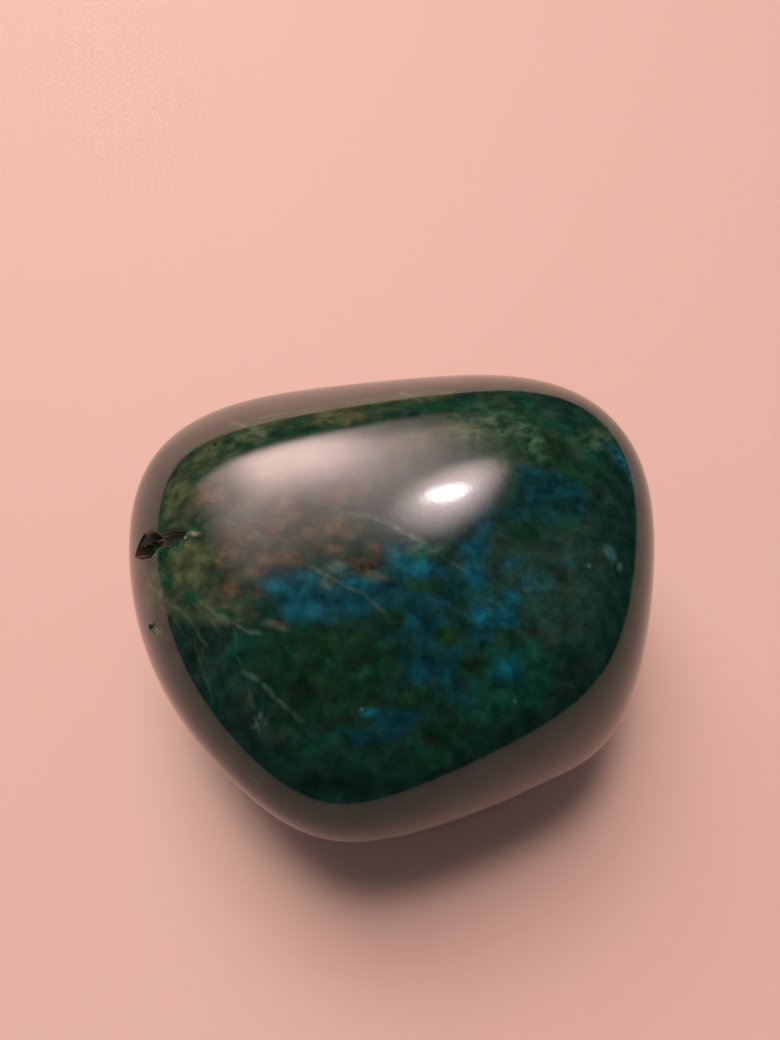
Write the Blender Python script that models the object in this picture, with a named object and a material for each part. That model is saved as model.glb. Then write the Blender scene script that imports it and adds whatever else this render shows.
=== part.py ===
"""A tumbled and polished chrysocolla stone, modelled as the single piece that it is.

The stone was a rough lump whose broken sides were worn until they ran into each other.
It is modelled in the same way. Every worn side is a plane at its own distance from the
stone's middle, and the surface follows the nearest planes with the edges between them
rounded over. A flat is then worn on the underside, where the stone rests, one shallow
hollow is sunk in the front, and the chips that the polishing left are cut out.

Units are metres and +Z is up. The stone rests on Z = 0, with its box centred on the Z axis,
its longest side along X and its thickness along Z.
"""

import math
from typing import NamedTuple

import bmesh
import bpy
from mathutils import Matrix, Vector

STONE_NAME = "chrysocolla_stone"

# Driving dimensions. The distances in the lists below are in millimetres for a stone
# that is 50 mm wide, and they all scale with the width.
STONE_WIDTH = 0.050
UNIT = STONE_WIDTH / 50.0

EDGE_SHARPNESS = 8.0  # higher gives tighter edges between the worn sides
REST_DEPTH = 12.3 * UNIT  # from the stone's middle down to the flat that it rests on
REST_EASING = 0.35 * UNIT  # how softly that flat runs into the sides
SURFACE_DIVISIONS = 5  # of the icosphere: 5120 triangles
CUTTER_DIVISIONS = 3


class WornSide(NamedTuple):
    """One worn side. Bearings run anticlockwise from +X, seen from above."""

    name: str
    bearing: float  # degrees
    tilt: float  # degrees that the side faces above the horizon
    reach: float  # millimetres from the stone's middle


WORN_SIDES = (
    # the broad top and the slopes around it
    WornSide("crown", -80, 82, 16.4),
    WornSide("back shoulder", 109, 63, 20.0),
    WornSide("front slope", 265, 55, 23.6),
    WornSide("right slope", -27, 54, 24.3),
    WornSide("left slope", 187, 45, 24.8),
    # the sides, from the right round the back to the front
    WornSide("right", -12, 6, 26.3),
    WornSide("back right", 34, 35, 29.0),
    WornSide("back", 94, 40, 23.7),
    WornSide("back left", 142, 33, 31.5),
    WornSide("left", 196, 4, 25.4),
    WornSide("front left", 224, 14, 25.0),
    WornSide("front", 258, 38, 26.6),
    WornSide("front right", 295, 14, 22.6),
    WornSide("right front corner", 344, 8, 27.1),
    # the underside
    WornSide("low back right", 40, -30, 22.7),
    WornSide("low back", 92, -28, 20.8),
    WornSide("low back left", 148, -30, 23.2),
    WornSide("low left", 190, -38, 20.8),
    WornSide("low front left", 230, -34, 17.8),
    WornSide("low front", 282, -40, 16.9),
    WornSide("low front right", 303, -51, 19.5),
    WornSide("low right", 350, -38, 21.3),
    WornSide("belly", 0, -90, 13.7),
)


class Hollow(NamedTuple):
    """A smooth, shallow hollow in the surface."""

    bearing: float  # degrees
    tilt: float  # degrees
    spread: float  # degrees from its middle to where it has nearly run out
    depth: float  # millimetres


FRONT_HOLLOW = Hollow(bearing=-56, tilt=-4, spread=13, depth=0.4)


class Chip(NamedTuple):
    """A chip or pit, cut by an ellipsoid whose middle lies on the surface."""

    name: str
    bearing: float  # degrees
    tilt: float  # degrees
    turn: float  # degrees from level to its long side, anticlockwise as seen from outside
    length: float  # millimetres
    breadth: float
    depth: float


CHIPS = (
    Chip("side_pit", 181.5, 29.5, 62, 3.2, 2.0, 1.3),
    Chip("groove", 184.0, 38.0, -14, 2.6, 1.0, 0.55),
    Chip("rim_nick", 202.0, 27.5, -50, 1.6, 0.8, 0.45),
)


def direction(bearing, tilt):
    """The unit vector that points to a bearing and a tilt, both in degrees."""
    across = math.cos(math.radians(tilt))
    return Vector(
        (
            across * math.cos(math.radians(bearing)),
            across * math.sin(math.radians(bearing)),
            math.sin(math.radians(tilt)),
        )
    )


def surface_distance(aim):
    """How far the worn surface is from the stone's middle along the unit vector aim."""
    wear = 0.0
    for side in WORN_SIDES:
        facing = aim.dot(direction(side.bearing, side.tilt))
        if facing > 0.0:
            wear += (facing / (side.reach * UNIT)) ** EDGE_SHARPNESS
    distance = wear ** (-1.0 / EDGE_SHARPNESS)
    apart = math.degrees(aim.angle(direction(FRONT_HOLLOW.bearing, FRONT_HOLLOW.tilt)))
    sunk = math.exp(-2.0 * (apart / FRONT_HOLLOW.spread) ** 2)
    return distance - FRONT_HOLLOW.depth * UNIT * sunk


def worn_flat(height):
    """A height above the resting plane after the flat is worn, with its rim eased."""
    if height > REST_EASING:
        return height
    if height < -REST_EASING:
        return 0.0
    return (height + REST_EASING) ** 2 / (4.0 * REST_EASING)


def linked_object(name, mesh, collection):
    """A new object that shows the mesh, in the collection."""
    made = bpy.data.objects.new(name, mesh)
    collection.objects.link(made)
    return made


def stone_surface(collection):
    """The closed surface of the stone, before the chips, resting on Z = 0."""
    shape = bmesh.new()
    bmesh.ops.create_icosphere(shape, subdivisions=SURFACE_DIVISIONS, radius=1.0)
    for vertex in shape.verts:
        aim = vertex.co.normalized()
        vertex.co = aim * surface_distance(aim)
        vertex.co.z = worn_flat(vertex.co.z + REST_DEPTH)
    mesh = bpy.data.meshes.new(STONE_NAME)
    shape.to_mesh(mesh)
    shape.free()
    return linked_object(STONE_NAME, mesh, collection)


def box_shift(mesh):
    """The move that brings the middle of the mesh's box onto the Z axis."""
    across = [vertex.co.x for vertex in mesh.vertices]
    along = [vertex.co.y for vertex in mesh.vertices]
    return Vector((-(min(across) + max(across)) / 2.0, -(min(along) + max(along)) / 2.0, 0.0))


def chip_cutter(chip, collection):
    """The ellipsoid that cuts one chip, standing on the surface with its depth pointing in."""
    outward = direction(chip.bearing, chip.tilt)
    level = Vector((0.0, 0.0, 1.0)).cross(outward).normalized()
    upward = outward.cross(level)
    facing = Matrix((level, upward, outward)).transposed().to_4x4()
    middle = outward * surface_distance(outward) + Vector((0.0, 0.0, REST_DEPTH))
    size = Vector((chip.length / 2.0, chip.breadth / 2.0, chip.depth)) * UNIT
    place = (
        Matrix.Translation(middle)
        @ facing
        @ Matrix.Rotation(math.radians(chip.turn), 4, "Z")
        @ Matrix.Diagonal((*size, 1.0))
    )
    shape = bmesh.new()
    bmesh.ops.create_icosphere(shape, subdivisions=CUTTER_DIVISIONS, radius=1.0, matrix=place)
    mesh = bpy.data.meshes.new(chip.name + "_cutter")
    shape.to_mesh(mesh)
    shape.free()
    cutter = linked_object(chip.name + "_cutter", mesh, collection)
    cutter.hide_render = True
    cutter.display_type = "WIRE"
    return cutter


def cut_chip(stone, cutter):
    """Takes the cutter out of the stone."""
    cut = stone.modifiers.new(cutter.name, "BOOLEAN")
    cut.operation = "DIFFERENCE"
    cut.solver = "EXACT"
    cut.object = cutter


def polished_chrysocolla():
    """The stone's material: deep blue-green, polished, and not metallic."""
    material = bpy.data.materials.new("polished_chrysocolla")
    material.use_nodes = True
    shader = material.node_tree.nodes["Principled BSDF"]
    shader.inputs["Base Color"].default_value = (0.012, 0.065, 0.060, 1.0)
    shader.inputs["Roughness"].default_value = 0.12
    shader.inputs["Metallic"].default_value = 0.0
    return material


def new_collection(name):
    """A new collection in the scene."""
    collection = bpy.data.collections.new(name)
    bpy.context.scene.collection.children.link(collection)
    return collection


def main():
    for leftover in list(bpy.data.objects):
        bpy.data.objects.remove(leftover, do_unlink=True)
    parts = new_collection("chrysocolla_specimen")
    cutters = new_collection("cutters")
    stone = stone_surface(parts)
    shift = Matrix.Translation(box_shift(stone.data))
    stone.data.transform(shift)
    stone.data.shade_smooth()
    stone.data.materials.append(polished_chrysocolla())
    for chip in CHIPS:
        cutter = chip_cutter(chip, cutters)
        cutter.data.transform(shift)
        cut_chip(stone, cutter)


main()
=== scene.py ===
import math
from typing import NamedTuple

import bmesh
import bpy
import numpy as np
from bpy.props import FloatProperty, FloatVectorProperty, IntProperty, PointerProperty
from mathutils import Matrix, Vector


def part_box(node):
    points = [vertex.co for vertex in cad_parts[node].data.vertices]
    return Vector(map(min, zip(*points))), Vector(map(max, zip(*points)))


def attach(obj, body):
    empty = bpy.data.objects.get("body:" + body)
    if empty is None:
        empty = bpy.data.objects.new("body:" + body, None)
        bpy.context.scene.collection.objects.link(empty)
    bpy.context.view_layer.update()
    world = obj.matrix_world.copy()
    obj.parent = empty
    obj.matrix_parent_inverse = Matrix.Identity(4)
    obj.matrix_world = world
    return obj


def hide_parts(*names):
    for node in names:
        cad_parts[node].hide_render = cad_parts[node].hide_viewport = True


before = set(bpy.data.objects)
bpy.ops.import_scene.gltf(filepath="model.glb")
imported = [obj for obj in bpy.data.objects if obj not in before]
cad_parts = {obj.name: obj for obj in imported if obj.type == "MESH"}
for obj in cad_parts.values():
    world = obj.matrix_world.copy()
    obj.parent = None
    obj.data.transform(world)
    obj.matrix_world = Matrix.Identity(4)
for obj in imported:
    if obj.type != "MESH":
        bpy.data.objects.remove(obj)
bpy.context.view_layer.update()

# Some marks are painted light and shade: shade along the lower front and right edges and in the side pit, brighter
# azure where it looks lit, glints in the groove, and reflections on the rim nick and the back edge.
# A tumbled and polished chrysocolla stone, on a plain pale floor.
#
# The stone's outside is worked out from the same worn sides as its solid, with many more
# faces, and is fitted to the solid's own box. Its colours are bodies of mineral that run
# through it: each body is a group of marks, placed in millimetres as seen from above, whose
# outlines are made ragged in the material. Away from the marks, the same minerals are
# scattered by the material alone. Then come the pale veins, the grains and the chips.
#
# Lengths in the lists are in millimetres, in the frame of the imported solid: +Z is up, the
# stone rests on Z = 0, and it is longest along X. The scene itself is in metres.

bl_info = {
    "name": "Chrysocolla Specimen",
    "version": (1, 0, 0),
    "blender": (4, 5, 0),
    "location": "3D View > Sidebar > Chrysocolla",
    "description": "Builds a polished chrysocolla stone and the plain floor that it lies on",
    "category": "Object",
}

MM = 0.001  # metres
NODE = "chrysocolla_stone"
BODY = "root"


# ---------------------------------------------------------------------------------------
# The shape of the stone
# ---------------------------------------------------------------------------------------


class WornSide(NamedTuple):
    """One worn side. Bearings run anticlockwise from +X, seen from above."""

    name: str
    bearing: float  # degrees
    tilt: float  # degrees that the side faces above the horizon
    reach: float  # millimetres from the stone's middle


WORN_SIDES = (
    # the broad top and the slopes around it
    WornSide("crown", -80, 82, 16.4),
    WornSide("back shoulder", 109, 63, 20.0),
    WornSide("front slope", 265, 55, 23.6),
    WornSide("right slope", -27, 54, 24.3),
    WornSide("left slope", 187, 45, 24.8),
    # the sides, from the right round the back to the front
    WornSide("right", -12, 6, 26.3),
    WornSide("back right", 34, 35, 29.0),
    WornSide("back", 94, 40, 23.7),
    WornSide("back left", 142, 33, 31.5),
    WornSide("left", 196, 4, 25.4),
    WornSide("front left", 224, 14, 25.0),
    WornSide("front", 258, 38, 26.6),
    WornSide("front right", 295, 14, 22.6),
    WornSide("right front corner", 344, 8, 27.1),
    # the underside
    WornSide("low back right", 40, -30, 22.7),
    WornSide("low back", 92, -28, 20.8),
    WornSide("low back left", 148, -30, 23.2),
    WornSide("low left", 190, -38, 20.8),
    WornSide("low front left", 230, -34, 17.8),
    WornSide("low front", 282, -40, 16.9),
    WornSide("low front right", 303, -51, 19.5),
    WornSide("low right", 350, -38, 21.3),
    WornSide("belly", 0, -90, 13.7),
)
EDGE_SHARPNESS = 8.0  # higher gives tighter edges between the worn sides
MIDDLE = Vector((0.1, -0.67, 12.3))  # the stone's middle, in the frame of the solid
REST_EASING = 0.35  # how softly the flat that it rests on runs into the sides


class Hollow(NamedTuple):
    """A smooth, shallow hollow in the surface."""

    bearing: float  # degrees
    tilt: float  # degrees
    spread: float  # degrees from its middle to where it has nearly run out
    depth: float  # millimetres


FRONT_HOLLOW = Hollow(bearing=-56, tilt=-4, spread=13, depth=0.4)


def direction(bearing, tilt):
    """The unit vector that points to a bearing and a tilt, both in degrees."""
    across = math.cos(math.radians(tilt))
    return Vector(
        (
            across * math.cos(math.radians(bearing)),
            across * math.sin(math.radians(bearing)),
            math.sin(math.radians(tilt)),
        )
    )


SIDE_FACINGS = np.array([direction(side.bearing, side.tilt) for side in WORN_SIDES])
SIDE_REACHES = np.array([side.reach for side in WORN_SIDES])


def surface_distances(aims):
    """How far the worn surface is from the stone's middle along each of the unit vectors."""
    facing = np.maximum(aims @ SIDE_FACINGS.T, 0.0) / SIDE_REACHES
    distances = (facing**EDGE_SHARPNESS).sum(axis=1) ** (-1.0 / EDGE_SHARPNESS)
    hollow = np.array(direction(FRONT_HOLLOW.bearing, FRONT_HOLLOW.tilt))
    apart = np.degrees(np.arccos(np.clip(aims @ hollow, -1.0, 1.0)))
    return distances - FRONT_HOLLOW.depth * np.exp(-2.0 * (apart / FRONT_HOLLOW.spread) ** 2)


def worn_flat(heights):
    """Heights above the resting plane after the flat is worn, with its rim eased."""
    eased = (heights + REST_EASING) ** 2 / (4.0 * REST_EASING)
    eased = np.where(heights < -REST_EASING, 0.0, eased)
    return np.where(heights > REST_EASING, heights, eased)


SEARCH_HEIGHT = 30.0  # millimetres above the stone's middle, and well clear of its top
SEARCH_STEPS = 40


def top_point(x, y):
    """The point of the surface over a place seen from above, in millimetres."""
    low, high = MIDDLE.z, MIDDLE.z + SEARCH_HEIGHT
    for _ in range(SEARCH_STEPS):
        height = (low + high) / 2.0
        arm = Vector((x, y, height)) - MIDDLE
        inside = arm.length < surface_distances(np.array([arm.normalized()]))[0]
        low, high = (height, high) if inside else (low, height)
    return Vector((x, y, low))


def surface_normal(point):
    """The outward normal of the surface at one of its points."""
    facing = np.maximum(SIDE_FACINGS @ np.array(point - MIDDLE), 0.0) / SIDE_REACHES
    pull = facing ** (EDGE_SHARPNESS - 1.0) / SIDE_REACHES
    return Vector(pull @ SIDE_FACINGS).normalized()


class Chip(NamedTuple):
    """A chip or pit with an angular outline, sunk from the surface."""

    name: str
    bearing: float  # degrees
    tilt: float  # degrees
    depth: float  # millimetres
    wall: float  # millimetres from the rim to the full depth
    outline: tuple  # corners, anticlockwise from outside: millimetres level and upward


CHIPS = (
    Chip(
        "side pit", 181.5, 29.5, 1.2, 0.5,
        (
            (0.8, -0.9), (1.5, 0.8), (1.3, 1.5), (0.8, 2.0), (-0.4, 1.8),
            (-1.0, 1.1), (-1.35, -0.3), (-0.9, -1.6), (-0.3, -2.6),
        ),
    ),
    Chip(
        "groove", 184.0, 38.0, 0.55, 0.3,
        ((0.1, -2.1), (0.56, -0.3), (0.4, 0.4), (0.25, 1.1), (-0.2, 1.25), (-0.8, 0.15), (-1.3, -2.3)),
    ),
    Chip(
        "rim nick", 202.0, 27.5, 0.25, 0.3,
        ((-0.6, -1.1), (0.4, -0.2), (1.0, 0.7), (0.5, 0.75), (-0.4, 0.25), (-1.0, -0.9)),
    ),
)
CHIP_NEARNESS = math.radians(13.0)  # how far round each chip the faces are made finer


# ---------------------------------------------------------------------------------------
# The minerals and where they lie
# ---------------------------------------------------------------------------------------


class Mark(NamedTuple):
    """A patch of a mineral, placed in millimetres as seen from above."""

    x: float
    y: float
    length: float
    breadth: float
    turn: float  # degrees, anticlockwise as seen from above


class MineralBody(NamedTuple):
    """One mineral where it shows on the top: its marks, and how its outline runs."""

    mineral: str
    second: str  # the mineral that clouds it
    cloud: float  # millimetres between the clouds
    softness: float  # of the outline, as a share of a mark's half size
    raggedness: float
    cover: float
    marks: tuple


BODIES = (
    MineralBody(  # quartz clouded with green
        "quartz", "moss", 1.6, 0.70, 0.26, 0.95, (
        Mark(11.6, -5.3, 12.6, 10.2, -5), Mark(14.9, -3.5, 8.0, 8.8, 8), Mark(9.1, -3.9, 6.9, 6.8, 3),
        Mark(14.8, -8.4, 5.5, 7.7, -6), Mark(11.7, -10.9, 8.3, 3.5, 23),
    )),
    MineralBody(  # malachite round the back and left
        "malachite", "leaf", 1.3, 0.56, 0.30, 0.95, (
        Mark(11.3, 9.4, 14.9, 10.8, -8), Mark(16.7, 6.5, 5.7, 10.8, -51), Mark(1.0, 11.4, 13.0, 8.4, 1),
        Mark(-9.9, 9.6, 15.0, 8.2, 14), Mark(-16.7, 6.6, 7.8, 11.2, 50), Mark(-18.0, 1.5, 6.8, 10.8, -21),
        Mark(-18.7, -3.9, 7.0, 5.5, -25), Mark(10.2, 4.0, 6.1, 5.2, 2), Mark(-15.9, -5.9, 4.9, 4.2, -12),
    )),
    MineralBody(  # clear green in the malachite
        "leaf", "olive", 1.0, 0.49, 0.45, 0.8, (
        Mark(-14.8, 8.7, 4.8, 4.4, 20), Mark(-5.5, 10.7, 5.8, 3.7, 7), Mark(-18.4, 2.8, 4.2, 5.9, -22),
        Mark(12.3, 9.4, 5.2, 4.0, 4), Mark(4.8, 11.6, 3.9, 3.3, -5), Mark(17.0, 4.3, 2.7, 4.6, -26),
        Mark(-18.6, -5.1, 3.0, 3.4, -23), Mark(10.9, -2.0, 3.5, 3.5, 3),
    )),
    MineralBody(  # straw mottles
        "straw", "leaf", 0.8, 0.90, 0.3, 0.62, (
        Mark(-11.1, 8.7, 4.8, 3.3, 30), Mark(-14.4, 6.4, 5.2, 4.0, 45), Mark(-18.6, 4.1, 3.0, 7.7, -0),
        Mark(-17.3, -0.5, 3.1, 4.0, -17), Mark(-19.9, -3.9, 4.7, 2.8, -29),
        Mark(-17.5, -3.1, 2.8, 2.0, -17), Mark(-15.8, -1.6, 3.1, 2.8, -12), Mark(-14.8, -4.6, 3.5, 3.4, -9),
        Mark(-4.8, 10.9, 7.8, 3.4, 7),
    )),
    MineralBody(  # dark blue-green in the malachite
        "dark", "deep", 0.9, 0.49, 0.52, 0.75, (
        Mark(-18.6, 8.3, 2.6, 4.1, 25), Mark(-2.9, 10.0, 3.5, 2.9, 2), Mark(-19.9, 5.6, 2.9, 5.2, -29),
        Mark(-18.4, 0.9, 2.7, 2.8, -21), Mark(-10.1, 8.5, 2.8, 1.9, 12), Mark(1.6, 9.6, 2.5, 2.2, -4),
        Mark(15.9, 12.1, 4.5, 3.7, 18),
    )),
    MineralBody(  # blue-green at the back right
        "teal", "ground", 1.2, 0.49, 0.38, 0.85, (
        Mark(18.4, 6.5, 2.8, 6.9, -55), Mark(15.7, 8.9, 3.8, 3.6, -19), Mark(12.3, 12.1, 3.0, 2.7, 4),
        Mark(13.7, -0.8, 4.0, 2.6, 5),
    )),
    MineralBody(  # iron stain
        "tan", "moss", 1.7, 0.90, 0.38, 0.95, (
        Mark(-13.1, -3.9, 7.1, 5.1, -6), Mark(-8.5, -4.1, 7.1, 5.0, -2), Mark(-12.5, -7.2, 5.6, 4.1, -5),
        Mark(-10.5, -0.5, 10.0, 7.4, -4), Mark(-4.9, -2.6, 7.1, 5.8, -0), Mark(-2.3, -5.7, 4.8, 2.7, -10),
        Mark(-15.0, 1.8, 5.5, 6.9, -12), Mark(-10.3, 4.0, 9.1, 5.3, 8), Mark(-3.8, 1.1, 5.9, 4.2, -1),
        Mark(-9.8, -6.5, 7.4, 3.6, -2),
    )),
    MineralBody(  # browner stain
        "brown", "tan", 0.9, 0.70, 0.38, 0.8, (
        Mark(-9.4, -5.1, 3.4, 2.1, -2), Mark(-12.9, -6.6, 3.3, 2.4, -5), Mark(-15.2, -7.2, 2.0, 1.8, -10),
        Mark(-11.8, -2.7, 2.7, 2.0, -4), Mark(-4.3, -4.2, 2.5, 1.5, 0), Mark(-1.4, -4.1, 2.0, 1.9, 0),
    )),
    MineralBody(  # olive on the iron stain
        "ochre", "olive", 1.2, 0.49, 0.45, 0.7, (
        Mark(-15.1, 4.7, 3.5, 2.6, 48), Mark(-16.2, -3.4, 3.9, 3.9, -13), Mark(-13.8, -6.2, 3.7, 2.7, -7),
        Mark(-7.3, 8.6, 7.6, 2.1, 6), Mark(-2.6, -4.2, 2.5, 2.2, 0), Mark(-12.7, -9.1, 3.5, 1.7, -5),
        Mark(-0.9, 8.5, 5.0, 1.6, 2), Mark(-11.5, 1.4, 2.8, 2.6, -5),
    )),
    MineralBody(  # blue seen through the stain
        "deep", "azure", 1.2, 0.63, 0.45, 0.24, (
        Mark(-5.6, 2.2, 4.5, 4.1, -2), Mark(-2.7, 4.8, 4.6, 3.3, -2), Mark(-0.9, -0.6, 3.8, 3.0, 0),
        Mark(3.1, 6.5, 6.1, 3.4, -8), Mark(-11.5, -5.2, 2.6, 1.8, -4), Mark(-6.4, -6.0, 2.5, 1.2, -0),
        Mark(-7.5, -2.3, 2.3, 1.6, -1),
    )),
    MineralBody(  # dull green of the near left
        "moss", "dark", 1.6, 0.70, 0.30, 0.9, (
        Mark(-14.3, -11.3, 8.0, 8.6, -48), Mark(-10.4, -16.0, 7.7, 5.7, -38),
        Mark(-16.0, -8.1, 6.0, 4.0, -14), Mark(-8.2, -17.8, 4.4, 3.2, -4),
    )),
    MineralBody(  # painted shade: near-black green along the lower front and right edges, where less light falls
        "dark", "ground", 2.0, 0.84, 0.30, 0.85, (
        Mark(-4.5, -20.9, 15.7, 3.2, -13), Mark(2.9, -20.1, 11.8, 3.5, 17), Mark(9.9, -16.7, 7.8, 3.5, 27),
        Mark(13.6, -13.0, 6.1, 3.3, 43), Mark(18.1, -0.5, 2.9, 7.3, 13), Mark(-10.4, -18.2, 7.1, 3.6, -37),
        Mark(16.6, 0.8, 4.4, 4.4, 10),
    )),
    MineralBody(  # near-black in the quartz
        "dark", "moss", 0.9, 0.56, 0.45, 0.8, (
        Mark(11.2, -10.6, 4.3, 1.9, 4), Mark(14.3, -12.6, 3.9, 1.6, 1), Mark(12.8, -14.4, 4.3, 1.5, 38),
        Mark(17.7, 2.0, 3.2, 3.2, 13), Mark(13.3, -5.5, 1.8, 2.7, 5),
    )),
    MineralBody(  # azure
        "azure", "deep", 1.3, 0.42, 0.34, 0.95, (
        Mark(-8.0, -7.1, 5.7, 3.5, -16), Mark(-5.2, -8.3, 5.5, 3.7, -10), Mark(-2.0, -8.0, 6.0, 3.2, 6),
        Mark(1.6, -6.5, 6.7, 4.1, 11), Mark(3.9, -7.1, 3.6, 4.7, 1), Mark(3.0, -9.9, 4.7, 6.7, 11),
        Mark(4.2, -13.0, 4.0, 5.9, 1), Mark(2.4, -13.1, 3.5, 4.5, 20), Mark(-0.3, -17.2, 5.2, 2.8, 9),
        Mark(1.0, -16.0, 2.9, 2.3, 1), Mark(-2.4, -17.9, 3.1, 1.8, -0), Mark(7.0, -2.1, 3.2, 6.4, -32),
        Mark(7.0, -10.6, 2.2, 3.6, 2), Mark(9.4, -8.0, 2.0, 2.3, 3), Mark(1.4, -4.1, 4.2, 2.5, 1),
        Mark(5.5, -15.0, 3.0, 2.6, 2),
    )),
    MineralBody(  # deep blue
        "deep", "azure", 1.6, 0.49, 0.30, 0.9, (
        Mark(13.3, 1.4, 6.8, 5.5, 5), Mark(11.6, 2.7, 3.7, 3.2, 3), Mark(15.0, 0.3, 2.5, 2.7, 7),
        Mark(1.9, -10.2, 3.8, 3.1, 1), Mark(10.2, -0.4, 3.0, 2.0, 3), Mark(0.2, -8.3, 3.0, 2.0, 1),
    )),
    MineralBody(  # teal
        "teal", "ground", 1.3, 0.42, 0.34, 0.95, (
        Mark(10.2, -12.8, 5.5, 4.2, -24), Mark(8.2, -15.1, 4.7, 4.3, 21), Mark(5.5, -17.0, 5.4, 3.2, 11),
        Mark(10.5, -14.7, 3.8, 2.7, 5), Mark(2.9, -18.0, 3.5, 2.4, 2), Mark(7.8, -12.9, 2.2, 3.2, 3),
        Mark(-4.5, -17.9, 3.7, 1.8, -1), Mark(2.5, -4.7, 3.1, 1.8, 1), Mark(-11.7, -11.6, 1.7, 2.4, -5),
    )),
    MineralBody(  # olive
        "olive", "umber", 1.3, 0.36, 0.41, 0.95, (
        Mark(-8.3, -12.8, 5.4, 4.8, -2), Mark(-5.1, -11.8, 7.3, 4.9, -1), Mark(-2.4, -12.6, 6.1, 5.1, 0),
        Mark(-5.0, -15.1, 8.2, 4.4, -1), Mark(-1.9, -14.9, 4.0, 3.9, 0), Mark(-6.6, -16.9, 5.4, 2.8, -2),
        Mark(-2.9, -16.8, 3.7, 2.0, -0), Mark(-0.3, -13.1, 1.9, 2.9, 0), Mark(1.5, -15.4, 3.2, 2.1, 10),
        Mark(4.3, -10.9, 2.4, 1.9, 1), Mark(3.6, -17.4, 4.0, 2.4, 11), Mark(8.7, -10.3, 1.9, 2.5, 3),
        Mark(0.2, -9.9, 1.6, 1.4, 1), Mark(13.7, 5.4, 4.8, 4.3, 6),
    )),
    MineralBody(  # green in the olive
        "leaf", "olive", 1.0, 0.49, 0.45, 0.75, (
        Mark(-4.6, -12.3, 2.4, 1.9, -0), Mark(-2.4, -13.6, 2.4, 1.6, 0), Mark(-7.8, -12.3, 2.2, 1.6, -2),
        Mark(-4.0, -16.1, 2.4, 1.3, -1), Mark(-6.1, -18.7, 3.2, 1.6, -2), Mark(-0.8, -11.6, 1.6, 1.4, 0),
        Mark(2.9, -19.3, 3.8, 1.7, 3), Mark(-9.9, -15.9, 1.7, 1.6, -4),
    )),
    MineralBody(  # yellow-green spots
        "ochre", "olive", 0.9, 0.42, 0.38, 0.85, (
        Mark(1.9, -6.9, 1.7, 1.3, 1), Mark(3.2, -7.0, 1.7, 1.3, 1), Mark(4.3, -10.7, 1.8, 1.4, 1),
        Mark(1.4, -15.4, 2.1, 1.2, 10), Mark(6.1, -13.0, 3.2, 2.2, -7), Mark(-4.6, -10.8, 2.2, 0.9, -0),
        Mark(-2.3, -11.0, 1.9, 0.9, 0), Mark(-0.6, -12.7, 1.1, 1.6, 0), Mark(-5.3, -14.2, 2.4, 1.3, -1),
        Mark(8.5, -10.8, 1.4, 1.4, 3), Mark(3.4, -17.8, 2.7, 1.2, 12), Mark(5.8, -17.0, 2.2, 1.3, 3),
        Mark(13.7, 5.5, 2.9, 2.3, 5), Mark(15.4, 3.7, 2.0, 2.2, 8),
    )),
    MineralBody(  # dark hearts of the spots
        "umber", "dark", 0.7, 0.42, 0.38, 0.85, (
        Mark(6.1, -12.9, 1.8, 1.2, -7), Mark(-6.3, -14.7, 3.2, 1.8, -1), Mark(3.0, -17.9, 1.7, 1.0, 12),
        Mark(14.1, 5.8, 1.9, 2.0, 6), Mark(-1.9, -5.7, 1.7, 1.0, -5), Mark(5.6, -17.3, 1.9, 1.3, 3),
    )),
    MineralBody(  # pale stain round the red spots
        "sage", "brown", 1.0, 0.75, 0.3, 0.75, (
        Mark(-5.1, -7.0, 2.3, 1.8, -0), Mark(-8.9, -10.2, 2.5, 1.0, -10), Mark(-1.7, -6.5, 3.6, 1.4, -5),
        Mark(-4.2, -5.7, 2.5, 1.2, 0),
    )),
    MineralBody(  # red spots
        "rust", "umber", 0.9, 0.80, 0.3, 0.7, (
        Mark(-5.2, -6.9, 0.8, 0.8, -0), Mark(-8.2, -10.0, 0.9, 0.7, -1), Mark(-1.9, -5.6, 0.8, 0.5, -5),
        Mark(-13.2, -2.9, 1.8, 1.0, 5),
    )),
    MineralBody(  # brightest azure
        "bright", "azure", 1.0, 0.63, 0.30, 0.8, (
        Mark(-8.9, -7.1, 3.4, 1.7, -12), Mark(-5.5, -9.3, 3.3, 1.7, -10), Mark(-6.8, -6.6, 2.9, 1.4, -21),
        Mark(1.1, -5.0, 3.1, 1.8, 1), Mark(6.2, -4.0, 1.7, 1.9, 2), Mark(-1.5, -16.4, 1.6, 0.9, 0),
        Mark(9.4, -7.7, 1.7, 1.7, 3),
    )),
    MineralBody(  # pale blue clouds
        "pale", "azure", 1.0, 0.95, 0.4, 0.55, (
        Mark(6.3, -5.4, 3.1, 4.0, -9), Mark(7.4, -8.1, 3.4, 3.2, 2), Mark(9.6, -5.1, 3.2, 2.7, 3),
        Mark(11.2, -6.5, 3.8, 3.3, 4), Mark(0.5, -4.0, 3.4, 2.0, 1), Mark(2.5, -4.0, 3.4, 2.0, 1),
        Mark(-4.4, -5.9, 3.1, 1.5, 0), Mark(5.6, -7.6, 1.9, 1.7, 1),
    )),
    MineralBody(  # soft pale mottles
        "pale", "moss", 1.0, 0.95, 0.6, 0.22, (
        Mark(11.1, -7.6, 4.3, 3.5, 4), Mark(14.2, -4.8, 4.0, 4.6, 6), Mark(15.6, -7.5, 2.9, 3.8, 9),
        Mark(12.4, -9.5, 3.5, 2.0, 5), Mark(7.9, 9.8, 4.5, 2.9, 35), Mark(8.2, 5.9, 2.8, 3.6, 1),
        Mark(-15.0, -8.8, 3.0, 1.9, -34), Mark(-13.3, -13.1, 2.4, 4.3, -31),
        Mark(-6.1, -18.1, 4.3, 1.6, -2),
    )),
    MineralBody(  # olive brown of the top band
        "band", "malachite", 1.6, 0.90, 0.3, 0.75, (
        Mark(-12.0, 10.1, 8.5, 3.4, 13), Mark(-4.9, 12.0, 9.9, 3.7, 7), Mark(3.0, 13.2, 8.6, 3.1, -2),
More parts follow.
